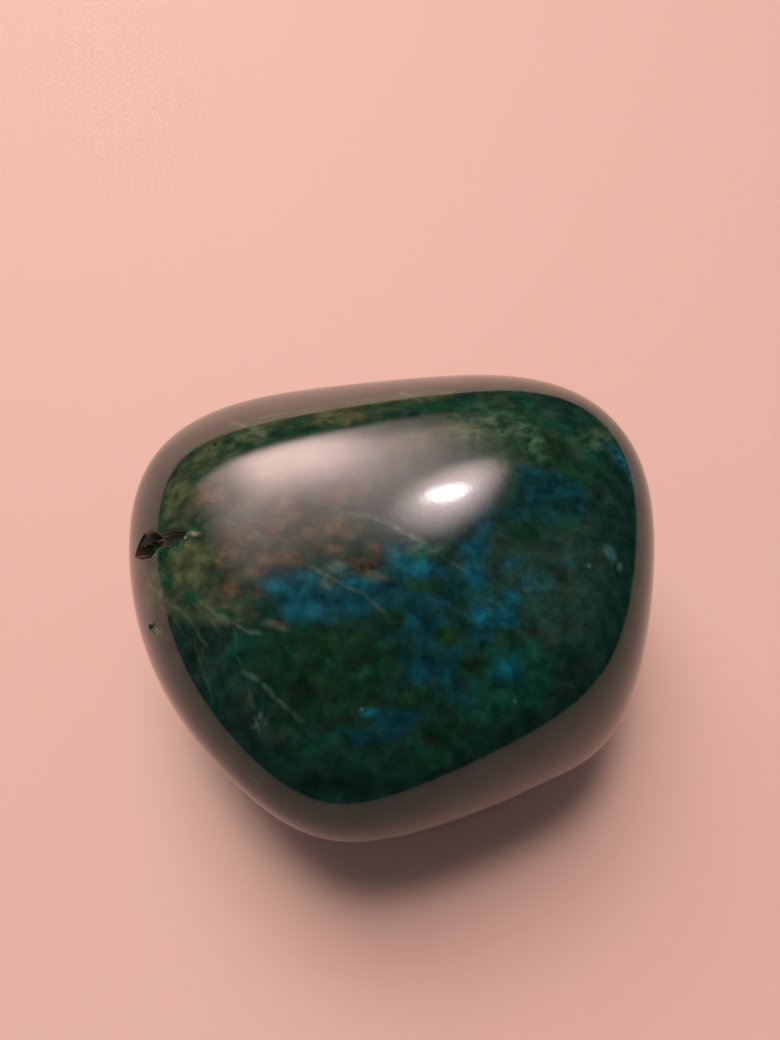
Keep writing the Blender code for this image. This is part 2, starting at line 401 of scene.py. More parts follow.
        Mark(-15.7, 8.4, 4.2, 4.4, 29), Mark(6.5, 7.7, 9.6, 5.8, 14), Mark(2.1, 6.7, 6.8, 3.5, -2),
        Mark(-4.6, 6.6, 6.2, 1.9, 8),
    )),
    MineralBody(  # olive of the left side
        "band", "malachite", 1.3, 0.80, 0.3, 0.92, (
        Mark(-17.5, -5.8, 7.8, 6.4, -20), Mark(-13.8, -9.0, 7.3, 2.5, -9), Mark(-15.8, -3.8, 4.8, 3.9, -12),
        Mark(-18.0, 2.2, 4.3, 8.7, 2), Mark(-16.5, 6.0, 3.9, 5.5, 48), Mark(-4.5, 10.3, 5.5, 3.4, 1),
        Mark(-11.8, -9.2, 3.4, 2.0, -4), Mark(-20.1, -5.7, 4.0, 3.8, -36), Mark(-5.5, 10.5, 5.2, 4.3, 1),
        Mark(-12.5, 9.0, 3.8, 4.2, 25), Mark(-3.2, 10.2, 3.9, 3.3, 2),
    )),
    MineralBody(  # teal in the left side
        "leaf", "teal", 0.8, 0.60, 0.4, 0.80, (
        Mark(-19.2, -3.4, 1.4, 2.9, -24), Mark(-18.0, -5.7, 1.8, 2.0, -35),
        Mark(-15.7, -7.6, 2.4, 1.4, -38), Mark(-12.7, -9.3, 2.1, 1.0, -23),
    )),
    MineralBody(  # pale grains
        "grain", "pale", 0.5, 0.90, 0.2, 0.62, (
        Mark(17.9, -3.3, 1.5, 2.0, 24), Mark(18.7, -4.2, 0.9, 0.9, 16), Mark(15.9, -4.7, 0.8, 0.6, 8),
        Mark(-9.6, -16.4, 0.7, 1.2, -21), Mark(-10.0, -17.0, 1.2, 0.5, 20), Mark(-2.1, -16.2, 0.4, 0.4, 0),
        Mark(9.3, -15.3, 0.5, 0.4, 5),
    )),
    MineralBody(  # dark grains
        "dark", "ground", 0.5, 0.50, 0.3, 0.8, (
        Mark(19.5, -4.7, 0.6, 0.4, 20), Mark(-15.7, 8.3, 0.6, 0.8, -19), Mark(18.7, 0.9, 1.4, 0.9, 15),
    )),
    MineralBody(  # painted light: the clearest blue laid over the azure where it looks lit
        "bright", "azure", 1.4, 0.80, 0.25, 0.88, (
        Mark(8.7, -9.3, 3.1, 2.5, 3), Mark(2.2, -5.7, 3.6, 2.4, 1), Mark(-6.8, -7.3, 5.6, 3.5, -9),
        Mark(-6.9, -9.0, 3.6, 2.6, -1), Mark(-2.5, -7.1, 4.2, 2.0, -5), Mark(-2.5, -8.9, 3.0, 2.0, 0),
        Mark(6.8, -6.4, 3.1, 3.9, 2), Mark(6.7, -9.0, 2.5, 2.0, 2), Mark(7.1, -4.0, 2.3, 2.8, -20),
        Mark(8.8, -13.3, 3.1, 2.7, 3),
    )),
    MineralBody(  # brick-red streak on the back edge: a red mineral spot, and partly a painted reflection, tinted to match the redder rim reflection there
        "rust", "rust", 0.8, 0.80, 0.3, 0.9, (
        Mark(4.2, 16.9, 2.1, 2.7, -5), Mark(5.5, 16.7, 2.7, 2.2, -2),
    )),
    MineralBody(  # painted shade: near-black green laid into the side pit's hollow
        "dark", "olive", 0.6, 0.40, 0.15, 0.97, (
        Mark(-20.8, -1.2, 8.6, 3.9, -35),
    )),
    MineralBody(  # brown edge of the side pit
        "brown", "rust", 0.6, 0.70, 0.15, 0.6, (
        Mark(-22.4, -1.1, 4.0, 3.2, -38),
    )),
    MineralBody(  # dark brown of the groove
        "umber", "dark", 0.5, 0.45, 0.15, 0.9, (
        Mark(-18.0, -1.7, 4.1, 1.7, -19),
    )),
    MineralBody(  # blue-green flash beside the pit
        "flash", "leaf", 0.5, 0.80, 0.3, 0.8, (
        Mark(-19.3, -2.5, 1.2, 2.4, -30), Mark(-18.9, -3.6, 1.1, 2.0, -20),
        Mark(-19.3, -4.4, 1.7, 2.4, -12), Mark(-18.6, -5.4, 1.5, 0.9, -22),
    )),
    MineralBody(  # pale bar by the groove, with two painted glints in the groove and a painted reflection on the rim nick
        "chipped", "sage", 0.4, 0.80, 0.3, 0.7, (
        Mark(-16.0, -2.1, 1.6, 0.6, -10), Mark(-16.8, -2.2, 0.4, 0.4, -14), Mark(-16.6, -2.9, 0.3, 0.6, 2),
        Mark(-19.3, -8.4, 1.8, 0.6, -29),
    )),
    MineralBody(  # pale green at the back
        "sage", "leaf", 0.9, 0.90, 0.3, 0.65, (
        Mark(-15.6, -1.5, 2.7, 2.4, -11), Mark(-17.4, -3.0, 2.0, 1.7, -16), Mark(7.8, 8.8, 6.5, 5.8, 14),
        Mark(10.6, 8.2, 6.3, 5.0, 2), Mark(12.5, 6.0, 3.8, 4.8, 4), Mark(6.7, 6.0, 2.7, 3.2, 0),
        Mark(17.9, 7.6, 2.8, 6.6, -43), Mark(2.7, -4.0, 4.3, 1.7, 1),
    )),
    MineralBody(  # pale blue of the right edge
        "pale", "azure", 0.8, 0.90, 0.2, 0.85, (
        Mark(20.5, 5.6, 2.3, 6.6, 35),
    )),
)


class Vein(NamedTuple):
    """A pale vein along places seen from above, all in millimetres. Its strength is a share of one."""

    width: float
    strength: float
    points: tuple


VEINS = (
    Vein(0.30, 0.43, ((-20.3, -4.5), (-18.5, -6.5), (-17.2, -7.7), (-16.4, -8.3))),
    Vein(0.23, 0.32, ((-16.4, -8.3), (-15.1, -9.8), (-14.1, -11.3))),
    Vein(0.27, 0.49, ((-14.9, -7.8), (-13.5, -9.0), (-12.1, -9.8), (-11.0, -10.5), (-9.8, -10.8))),
    Vein(0.20, 0.27, ((-11.9, -10.3), (-11.6, -12.2), (-11.3, -12.9))),
    Vein(0.30, 0.43, ((-11.1, -13.4), (-9.7, -14.2), (-8.6, -15.2))),
    Vein(0.27, 0.32, ((-8.6, -15.2), (-7.2, -16.5), (-6.4, -16.9))),
    Vein(0.38, 0.75, ((-14.8, 12.0), (-13.1, 10.4), (-11.2, 8.3))),
    Vein(0.33, 0.38, ((-6.7, 0.4), (-5.2, -0.2), (-3.3, -0.8), (-1.3, -1.2))),
    Vein(0.43, 0.75, ((-1.3, -1.2), (0.1, -1.9), (1.2, -2.6), (2.7, -3.5))),
    Vein(0.25, 0.30, ((2.7, -3.5), (4.5, -4.9), (6.1, -5.9))),
    Vein(0.30, 0.38, ((-13.2, -1.3), (-11.5, -2.0), (-9.8, -3.2))),
    Vein(0.28, 0.38, ((-6.5, -5.4), (-4.1, -6.8), (-2.1, -7.8), (-0.5, -9.2))),
    Vein(0.34, 0.32, ((-9.2, -16.6), (-9.5, -17.2))),
    Vein(0.38, 0.38, ((-5.8, 12.4), (-2.5, 13.5), (1.2, 13.4))),
    Vein(0.43, 0.68, ((0.8, 15.0), (1.8, 13.3), (3.0, 12.1))),
    Vein(0.18, 0.27, ((-19.5, -6.3), (-17.7, -8.0), (-15.7, -10.6))),
    Vein(0.18, 0.27, ((-15.2, -10.7), (-14.4, -12.9), (-13.5, -14.9))),
    Vein(0.20, 0.27, ((-13.9, -17.1), (-11.2, -19.5), (-8.1, -21.4))),
    Vein(0.28, 0.38, ((-14.7, 11.5), (-9.5, 12.4), (-5.8, 12.8))),
    Vein(0.30, 0.45, ((-4.9, 13.6), (0.7, 13.5), (7.2, 13.7))),
    Vein(0.20, 0.27, ((-15.9, -7.6), (-14.6, -8.7), (-13.0, -10.5))),
    Vein(0.20, 0.27, ((-10.6, -14.7), (-10.2, -16.1), (-9.7, -17.6))),
)

BROKEN_PLACES = (  # over the side pit, the groove and the rim nick
    Mark(-20.6, -1.2, 3.0, 3.2, 0.0),
    Mark(-18.2, -1.7, 3.6, 1.6, 0.0),
    Mark(-19.2, -8.4, 1.6, 1.2, 0.0),
)
# where the marks lie, and the scattered minerals don't
PLACED_REGION = Mark(0.0, -6.0, 54.0, 48.0, 0)
PLACED_HEIGHTS = (6.0, 12.0)  # millimetres up; below these the scattered minerals show again


# ---------------------------------------------------------------------------------------
# Settings
# ---------------------------------------------------------------------------------------


def mineral_colour(name, description, default):
    """A colour setting for one mineral."""
    return FloatVectorProperty(
        name=name, description=description, default=default, size=3, min=0.0, max=1.0, subtype="COLOR"
    )


class StoneShapeSettings(bpy.types.PropertyGroup):
    """Sizes of the stone that the solid leaves open."""

    divisions: IntProperty(
        name="Divisions",
        description="How many faces run along each side of the cube that is blown up into the stone",
        default=110,
        min=8,
        max=160,
    )
    ripple: FloatProperty(
        name="Ripple",
        description="How far the polish wanders from a perfect surface, in metres",
        default=0.000012,
        min=0.0,
        precision=6,
        subtype="DISTANCE",
        unit="LENGTH",
    )


class StoneColourSettings(bpy.types.PropertyGroup):
    """The colours of the minerals."""

    ground: mineral_colour("Ground", "The deep blue-green between the bodies", (0.0008, 0.017, 0.013))
    azure: mineral_colour("Azure", "Pure blue chrysocolla", (0.0004, 0.034, 0.052))
    bright: mineral_colour("Bright azure", "The clearest blue", (0.002, 0.072, 0.105))
    deep: mineral_colour("Deep blue", "Blue that lies deep in the stone", (0.0003, 0.014, 0.019))
    teal: mineral_colour("Teal", "Blue-green chrysocolla", (0.001, 0.04, 0.026))
    olive: mineral_colour("Olive", "Yellow-green ore", (0.0008, 0.0165, 0.006))
    umber: mineral_colour("Umber", "Dark brown ore in the olive", (0.003, 0.012, 0.005))
    malachite: mineral_colour("Malachite", "Grey-green malachite", (0.027, 0.046, 0.024))
    leaf: mineral_colour("Leaf green", "Clear green malachite", (0.002, 0.034, 0.014))
    brown: mineral_colour("Brown", "Iron-stained brown", (0.05, 0.04, 0.022))
    tan: mineral_colour("Tan", "Pale iron stain", (0.105, 0.065, 0.037))
    straw: mineral_colour("Straw", "Pale yellow-green", (0.085, 0.085, 0.038))
    band: mineral_colour("Band", "Olive brown along the back edge", (0.072, 0.080, 0.036))
    ochre: mineral_colour("Ochre", "Yellow-green spots", (0.005, 0.026, 0.0065))
    rust: mineral_colour("Rust", "Red-brown spots", (0.070, 0.028, 0.016))
    pale: mineral_colour("Pale blue", "Milky blue clouds", (0.014, 0.09, 0.12))
    grain: mineral_colour("Grain", "Pale grains", (0.080, 0.160, 0.110))
    moss: mineral_colour("Moss", "Dull grey-green", (0.013, 0.028, 0.017))
    quartz: mineral_colour("Quartz", "Quartz clouded with green", (0.006, 0.025, 0.018))
    dark: mineral_colour("Dark", "Near-black green", (0.0015, 0.006, 0.0042))
    vein: mineral_colour("Vein", "Pale blue-green veins", (0.060, 0.110, 0.080))
    flash: mineral_colour("Flash", "Clear blue-green beside the pit", (0.018, 0.090, 0.055))
    # the pale bar's colour, used also for the painted glints in the groove and the painted reflection on the rim nick
    chipped: mineral_colour("Chipped", "Pale broken edges", (0.30, 0.27, 0.20))
    sage: mineral_colour("Sage", "Pale grey-green at the back", (0.058, 0.108, 0.068))


class StoneFinishSettings(bpy.types.PropertyGroup):
    """The polish."""

    roughness: FloatProperty(
        name="Roughness", description="Roughness of the polished surface", default=0.075, min=0.0, max=1.0
    )
    broken_roughness: FloatProperty(
        name="Broken roughness",
        description="Roughness that the broken faces of the chips add",
        default=0.35,
        min=0.0,
        max=0.9,
    )
    refraction: FloatProperty(
        name="Refraction", description="Index of refraction of the polished surface", default=1.54, min=1.0, max=2.5
    )


class StageSettings(bpy.types.PropertyGroup):
    """The floor, the lights and the camera."""

    floor_colour: FloatVectorProperty(
        name="Floor colour",
        description="Colour of the floor",
        default=(0.52, 0.36, 0.32),
        size=3,
        min=0.0,
        max=1.0,
        subtype="COLOR",
    )
    floor_width: FloatProperty(
        name="Floor width", description="Width of the floor", default=1.2, min=0.1, unit="LENGTH"
    )
    lens: FloatProperty(name="Lens", description="Focal length of the camera, in millimetres", default=28.0, min=10.0)
    look_down: FloatProperty(
        name="Look down",
        description="How far the camera points below the horizon",
        default=math.radians(56.0),
        subtype="ANGLE",
        unit="ROTATION",
    )
    window_strength: FloatProperty(
        name="Window strength", description="Brightness of the large soft light", default=8.5, min=0.0
    )
    ceiling_strength: FloatProperty(
        name="Ceiling strength", description="Brightness of the even light from overhead", default=11.4, min=0.0
    )
    lamp_strength: FloatProperty(
        name="Lamp strength", description="Brightness of the small light", default=50.0, min=0.0
    )
    room_strength: FloatProperty(
        name="Room strength", description="Brightness of everything around", default=0.25, min=0.0
    )


# ---------------------------------------------------------------------------------------
# The mesh of the stone
# ---------------------------------------------------------------------------------------


def sphere_of_quads(divisions, fine_aims):
    """A cube with evenly divided sides blown up into a ball, finer near the given directions."""
    ball = bmesh.new()
    bmesh.ops.create_cube(ball, size=2.0)
    bmesh.ops.subdivide_edges(ball, edges=ball.edges[:], cuts=divisions - 1, use_grid_fill=True)
    for vertex in ball.verts:
        even = [math.tan(math.pi / 4.0 * number) for number in vertex.co]
        vertex.co = Vector(even).normalized()
    for nearness in (CHIP_NEARNESS, 0.7 * CHIP_NEARNESS):
        near = math.cos(nearness)
        edges = [
            edge
            for edge in ball.edges
            if any(((edge.verts[0].co + edge.verts[1].co) / 2.0).normalized().dot(aim) > near for aim in fine_aims)
        ]
        bmesh.ops.subdivide_edges(ball, edges=edges, cuts=1, use_grid_fill=True)
        for vertex in ball.verts:
            vertex.co.normalize()
    return ball


def chip_depths(chip, points, aims):
    """How deep the chip is at each of the points, which lie on the surface about the middle."""
    outward = direction(chip.bearing, chip.tilt)
    level = Vector((0.0, 0.0, 1.0)).cross(outward).normalized()
    upward = outward.cross(level)
    centre = outward * surface_distances(np.array([outward]))[0]
    arms = points - np.array(centre)
    along, up = arms @ np.array(level), arms @ np.array(upward)
    inside = np.full(len(points), math.inf)
    corners = chip.outline
    for start, end in zip(corners, corners[1:] + corners[:1]):
        run = math.hypot(end[0] - start[0], end[1] - start[1])
        across = ((end[0] - start[0]) * (up - start[1]) - (end[1] - start[1]) * (along - start[0])) / run
        inside = np.minimum(inside, across)
    share = np.clip(inside / chip.wall, 0.0, 1.0)
    facing = aims @ np.array(outward) > 0.8
    return np.where(facing, chip.depth * share * (2.0 - share), 0.0)


def stone_mesh(shape):
    """The stone's surface in metres, fitted to the box of the solid."""
    fine_aims = [direction(chip.bearing, chip.tilt) for chip in CHIPS]
    ball = sphere_of_quads(shape.divisions, fine_aims)
    mesh = bpy.data.meshes.new("chrysocolla")
    ball.to_mesh(mesh)
    ball.free()
    aims = np.empty(len(mesh.vertices) * 3)
    mesh.vertices.foreach_get("co", aims)
    aims = aims.reshape(-1, 3)
    points = aims * surface_distances(aims)[:, None]
    depths = np.zeros(len(points))
    for chip in CHIPS:
        depths = np.maximum(depths, chip_depths(chip, points, aims))
    smooth = points.copy()
    smooth[:, 2] = worn_flat(smooth[:, 2] + MIDDLE.z)
    low, high = smooth.min(axis=0), smooth.max(axis=0)
    points -= aims * depths[:, None]
    points[:, 2] = worn_flat(points[:, 2] + MIDDLE.z)
    box_low, box_high = (np.array(corner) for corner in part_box(NODE))
    places = box_low + (points - low) / (high - low) * (box_high - box_low)
    mesh.vertices.foreach_set("co", places.ravel())
    mesh.update()
    mesh.shade_smooth()
    return mesh


# ---------------------------------------------------------------------------------------
# The material of the stone
# ---------------------------------------------------------------------------------------


class Bench:
    """Adds nodes to a tree and plugs them together."""

    def __init__(self, tree):
        self.tree = tree

    def add(self, kind, **settings):
        node = self.tree.nodes.new(kind)
        for name, value in settings.items():
            setattr(node, name, value)
        return node

    def plug(self, socket, value):
        """Links the socket to another, or gives it a plain value."""
        if isinstance(value, bpy.types.NodeSocket):
            self.tree.links.new(value, socket)
        else:
            socket.default_value = value

    def maths(self, operation, *terms):
        node = self.add("ShaderNodeMath", operation=operation)
        for socket, term in zip(node.inputs, terms):
            self.plug(socket, term)
        return node.outputs[0]

    def vector_maths(self, operation, *terms):
        node = self.add("ShaderNodeVectorMath", operation=operation)
        for socket, term in zip(node.inputs, terms):
            self.plug(socket, term)
        return node.outputs[0]

    def along(self, vector, way):
        """How far a vector goes along a way."""
        node = self.add("ShaderNodeVectorMath", operation="DOT_PRODUCT")
        self.plug(node.inputs[0], vector)
        self.plug(node.inputs[1], way)
        return node.outputs["Value"]

    def scaled(self, vector, factor):
        node = self.add("ShaderNodeVectorMath", operation="SCALE")
        self.plug(node.inputs[0], vector)
        self.plug(node.inputs["Scale"], factor)
        return node.outputs[0]

    def noise(self, place, size, detail=2.0, roughness=0.5, shift=0.0, output=0):
        """Cloudy noise whose lumps are about size apart. Each shift gives other clouds."""
        if shift:
            place = self.vector_maths("ADD", place, (shift, shift * 0.7, -shift * 1.3))
        node = self.add("ShaderNodeTexNoise")
        self.plug(node.inputs["Vector"], place)
        self.plug(node.inputs["Scale"], 1.0 / size)
        self.plug(node.inputs["Detail"], detail)
        self.plug(node.inputs["Roughness"], roughness)
        return node.outputs[output]

    def step(self, value, start, end, low=0.0, high=1.0):
        """A smooth step from low to high as the value goes from start to end."""
        node = self.add("ShaderNodeMapRange", interpolation_type="SMOOTHSTEP")
        names = ("Value", "From Min", "From Max", "To Min", "To Max")
        for name, term in zip(names, (value, start, end, low, high)):
            self.plug(node.inputs[name], term)
        return node.outputs[0]

    def even(self, value):
        """A vector that holds the value three times."""
        node = self.add("ShaderNodeCombineXYZ")
        for socket in node.inputs:
            self.plug(socket, value)
        return node.outputs[0]

    def blend(self, share, first, second, kind="MIX"):
        """The first colour, with the second mixed in by its share."""
        node = self.add("ShaderNodeMix", data_type="RGBA", blend_type=kind)
        self.plug(node.inputs[0], share)
        self.plug(node.inputs[6], first)
        self.plug(node.inputs[7], second)
        return node.outputs[2]


def opaque(colour):
    """A colour with its alpha."""
    return (*colour, 1.0)


def surface_frame(x, y, turn):
    """The point over a place seen from above, and axes there: along the turn, across it, out."""
    point = top_point(x, y)
    out = surface_normal(point)
    along = Vector((math.cos(math.radians(turn)), math.sin(math.radians(turn)), 0.0))
    along = (along - out * along.dot(out)).normalized()
    return point, Matrix((along, out.cross(along), out)).transposed()


def mark_field(bench, place, mark):
    """One at the middle of the mark, falling to nothing at its edge."""
    point, axes = surface_frame(mark.x, mark.y, mark.turn)
    mapping = bench.add("ShaderNodeMapping", vector_type="TEXTURE")
    bench.plug(mapping.inputs["Vector"], place)
    bench.plug(mapping.inputs["Location"], point)
    bench.plug(mapping.inputs["Rotation"], axes.to_euler())
    sizes = (mark.length, mark.breadth, mark.length)
    bench.plug(mapping.inputs["Scale"], [size * MARK_SPREAD / 2.0 for size in sizes])
    falloff = bench.add("ShaderNodeTexGradient", gradient_type="SPHERICAL")
    bench.plug(falloff.inputs["Vector"], mapping.outputs[0])
    return falloff.outputs["Fac"]


def joined_fields(bench, fields, operation="SMOOTH_MAX"):
    """The fields run together into one."""
    joined = fields[0]
    for field in fields[1:]:
        joined = bench.maths(operation, joined, field, 0.12)
    return joined


MARK_SPREAD = 1.18  # how much wider than its mark each mineral's field runs out
MARK_EDGE = 0.16  # the part of a mark's field over which even the sharpest mineral comes in


def lay_body(bench, colour, body, place, ragged, palette):
    """The colour with one body of mineral laid over it."""
    fields = joined_fields(bench, [mark_field(bench, place, mark) for mark in body.marks])
    wander = bench.maths("MULTIPLY_ADD", ragged, 4.0 * body.raggedness, 1.0 - 2.0 * body.raggedness)
    mask = bench.step(
        bench.maths("MULTIPLY", fields, wander), 0.0, MARK_EDGE + body.softness, 0.0, body.cover
    )
    cloud = bench.step(bench.noise(place, body.cloud, 2.0, 0.5, shift=len(body.marks) * 3.1), 0.33, 0.67)
    tone = bench.blend(cloud, opaque(palette[body.mineral]), opaque(palette[body.second]))
    return bench.blend(mask, colour, tone)


def needle_field(bench, place, start, end, width):
    """One along the line between two places seen from above, falling to nothing at its width."""
    first, last = top_point(*start), top_point(*end)
    middle = (first + last) / 2.0
    out = surface_normal(top_point(middle.x, middle.y))
    along = (last - first).normalized()
    across = out.cross(along).normalized()
    axes = Matrix((along, across, along.cross(across))).transposed()
    mapping = bench.add("ShaderNodeMapping", vector_type="TEXTURE")
    bench.plug(mapping.inputs["Vector"], place)
    bench.plug(mapping.inputs["Location"], middle)
    bench.plug(mapping.inputs["Rotation"], axes.to_euler())
    bench.plug(mapping.inputs["Scale"], ((last - first).length * 0.85, width, 1.5))
    falloff = bench.add("ShaderNodeTexGradient", gradient_type="SPHERICAL")
    bench.plug(falloff.inputs["Vector"], mapping.outputs[0])
    return falloff.outputs["Fac"]


SCATTERED = (  # mineral, millimetres between its lumps, shift of its clouds, and where they start and end
    ("olive", 6.0, 11.0, 0.52, 0.60),
    ("azure", 7.0, 23.0, 0.56, 0.62),
    ("brown", 6.0, 37.0, 0.60, 0.66),
)


def scattered_minerals(bench, place, palette):
    """The minerals as they lie where no mark places them."""
    share = bench.step(bench.noise(place, 8.0, 3.0), 0.45, 0.58)
    tone = bench.blend(share, opaque(palette["ground"]), opaque(palette["malachite"]))
    for mineral, size, shift, start, end in SCATTERED:
        share = bench.step(bench.noise(place, size, 3.0, shift=shift), start, end)
        tone = bench.blend(share, tone, opaque(palette[mineral]))
    return tone


SCRATCH_DEPTH = 0.0000015  # metres that the polish leaves


def chrysocolla_material(colours, finish):
    """The polished stone."""
    material = bpy.data.materials.new("polished_chrysocolla")
    material.use_nodes = True
    bench = Bench(material.node_tree)
    shader = material.node_tree.nodes["Principled BSDF"]
    palette = {name: tuple(getattr(colours, name)) for name in StoneColourSettings.__annotations__}

    object_place = bench.add("ShaderNodeTexCoord").outputs["Object"]
    true_place = bench.scaled(object_place, 1.0 / MM)
    broad = bench.vector_maths("SUBTRACT", bench.noise(true_place, 4.5, 2.0, output=1), (0.5, 0.5, 0.5))
    small = bench.vector_maths("SUBTRACT", bench.noise(true_place, 1.1, 1.5, 0.5, output=1), (0.5, 0.5, 0.5))
    warp = bench.vector_maths("ADD", bench.scaled(broad, 2.0), bench.scaled(small, 0.8))
    place = bench.vector_maths("ADD", true_place, warp)
    vein_place = bench.vector_maths("ADD", true_place, bench.scaled(small, 0.5))
    ragged = bench.noise(true_place, 1.6, 2.0, 0.5, shift=5.0)

    wild = scattered_minerals(bench, place, palette)
    placed = bench.step(mark_field(bench, true_place, PLACED_REGION), 0.05, 0.25)
    high = bench.step(bench.along(true_place, (0.0, 0.0, 1.0)), *PLACED_HEIGHTS)
    colour = bench.blend(bench.maths("MULTIPLY", placed, high), wild, opaque(palette["ground"]))
    for body in BODIES:
        share = min(1.0, body.cloud / 1.6)  # finer bodies stay nearer to their marks
        near_place = bench.vector_maths("ADD", true_place, bench.scaled(warp, share))
        colour = lay_body(bench, colour, body, near_place, ragged, palette)

    needles = []
    for vein in VEINS:
        for start, end in zip(vein.points, vein.points[1:]):
            needle = needle_field(bench, vein_place, start, end, vein.width)
            needles.append(bench.maths("MULTIPLY", bench.step(needle, 0.0, 0.8), vein.strength))
    fade = bench.step(bench.noise(true_place, 0.8, 2.0, shift=41.0), 0.34, 0.64, 0.40, 1.0)
    vein_mask = bench.maths("MULTIPLY", joined_fields(bench, needles, "MAXIMUM"), fade)
    colour = bench.blend(vein_mask, colour, opaque(palette["vein"]))

    clouds = bench.step(bench.noise(true_place, 1.3, 2.5, 0.5, shift=3.0), 0.3, 0.7, 0.70, 1.30)
    grain = bench.step(bench.noise(true_place, 0.34, 2.0, 0.5, shift=7.0), 0.3, 0.7, 0.90, 1.10)
    shade = bench.maths("MULTIPLY", clouds, grain)
    colour = bench.vector_maths("MULTIPLY", colour, bench.even(shade))
    bench.plug(shader.inputs["Base Color"], colour)

    scuff = bench.noise(true_place, 2.5, 4.0, 0.7, shift=13.0)
    polish = bench.step(scuff, 0.3, 0.75, finish.roughness * 0.85, finish.roughness * 1.3)
    fields = [mark_field(bench, true_place, mark) for mark in BROKEN_PLACES]
    broken = bench.step(joined_fields(bench, fields), 0.0, 0.6)
    bench.plug(shader.inputs["Roughness"], bench.maths("MULTIPLY_ADD", broken, finish.broken_roughness, polish))
    shader.inputs["IOR"].default_value = finish.refraction
    bump = bench.add("ShaderNodeBump")
    bench.plug(bump.inputs["Height"], bench.noise(true_place, 0.5, 3.0, 0.6, shift=17.0))
    bump.inputs["Strength"].default_value = 1.0
    bump.inputs["Distance"].default_value = SCRATCH_DEPTH
    bench.plug(shader.inputs["Normal"], bump.outputs[0])
    return material


# ---------------------------------------------------------------------------------------
# Operators
# ---------------------------------------------------------------------------------------


class CHRYSOCOLLA_OT_build_stone(bpy.types.Operator):
    """Builds the polished stone in the place of its solid"""

    bl_idname = "chrysocolla.build_stone"
    bl_label = "Build the Stone"
    bl_options = {"REGISTER", "UNDO"}

    def execute(self, context):
        scene = context.scene
        stone = bpy.data.objects.new("polished_stone", stone_mesh(scene.chrysocolla_shape))
        scene.collection.objects.link(stone)
        stone.data.materials.append(chrysocolla_material(scene.chrysocolla_colours, scene.chrysocolla_finish))
        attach(stone, BODY)
        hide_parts(NODE)
        return {"FINISHED"}


FLOOR_ROUGHNESS = 0.7


def floor_object(stage):
    """The plain floor that the stone lies on."""
    shape = bmesh.new()
    bmesh.ops.create_grid(shape, x_segments=1, y_segments=1, size=stage.floor_width / 2.0)
    mesh = bpy.data.meshes.new("floor")
    shape.to_mesh(mesh)
    shape.free()
    material = bpy.data.materials.new("plain_floor")
    material.use_nodes = True
    shader = material.node_tree.nodes["Principled BSDF"]
    shader.inputs["Base Color"].default_value = opaque(stage.floor_colour)
    shader.inputs["Roughness"].default_value = FLOOR_ROUGHNESS
    floor = bpy.data.objects.new("floor", mesh)
    mesh.materials.append(material)
    return floor


def aimed_light(name, bearing, tilt, distance, width, height, turn=0.0):
    """An area light at a bearing and tilt from the stone, facing it, and a bench for its nodes."""
    light = bpy.data.lights.new(name, "AREA")
    light.shape = "RECTANGLE"
    light.size, light.size_y = width, height
    light.use_nodes = True
    lamp = bpy.data.objects.new(name, light)
    away = direction(bearing, tilt)
    lamp.location = MIDDLE * MM + away * distance
    facing = away.to_track_quat("Z", "Y").to_matrix()
    lamp.rotation_euler = (facing @ Matrix.Rotation(math.radians(turn), 3, "Z")).to_euler()
    return lamp, Bench(light.node_tree)


ROOM_TINT = (1.0, 0.86, 0.82, 1.0)
LIGHT_DISTANCE = 1.0  # metres from the stone to each light
WARM = (1.0, 0.71, 0.66, 1.0)
GLOW = (1.0, 0.77, 0.77, 1.0)
CEILING_TINT = (0.90, 0.69, 0.63, 1.0)
EVEN_FADES = (0.3, 0.3, 0.3, 0.3)


class LightPanel(NamedTuple):
    """A soft light that faces the stone. It fades over shares of its width and its height."""

    name: str
    bearing: float  # degrees
    tilt: float  # degrees
    turn: float  # degrees
    width: float  # metres
    height: float
    share: float  # of the strength in the settings
    tint: tuple
    fades: tuple | None  # right, left, lower and upper; a panel without them fades all round


WINDOW_PANELS = (
    LightPanel("soft_window", 109.6, 38.6, 0.0, 0.47, 0.77, 0.97, WARM, (0.36, 0.46, 0.38, 0.52)),
    LightPanel("window_side", 95.0, 46.0, 0.0, 0.44, 0.70, 0.26, WARM, (0.50, 0.50, 0.40, 0.40)),
    LightPanel("lamp_glow", 74.2, 62.8, 0.0, 0.25, 0.38, 1.20, GLOW, None),
    LightPanel("lamp_haze", 82.0, 62.0, 0.0, 0.46, 0.50, 0.16, GLOW, None),
    LightPanel("soft_wall", 113.0, 49.5, 0.0, 1.04, 1.18, 0.49, WARM, (0.42, 0.42, 0.14, 0.54)),
)
LAMP_TINT = (1.0, 0.86, 0.87, 1.0)
LAMP_PANEL = LightPanel("small_lamp", 75.6, 63.5, 0.0, 0.105, 0.085, 1.15, LAMP_TINT, (0.5, 0.5, 0.5, 0.5))
CEILING_PANELS = (
    LightPanel("soft_ceiling", 112.0, 69.5, 0.0, 1.28, 1.28, 0.86, CEILING_TINT, EVEN_FADES),
    LightPanel("ceiling_lamp", 135.0, 83.0, 0.0, 0.48, 0.48, 3.1, CEILING_TINT, EVEN_FADES),
    LightPanel("side_daylight", 128.0, 40.0, 0.0, 0.90, 0.80, 0.36, (0.77, 1.0, 0.87, 1.0), EVEN_FADES),
)
CEILING_DISTANCE = 1.6  # metres


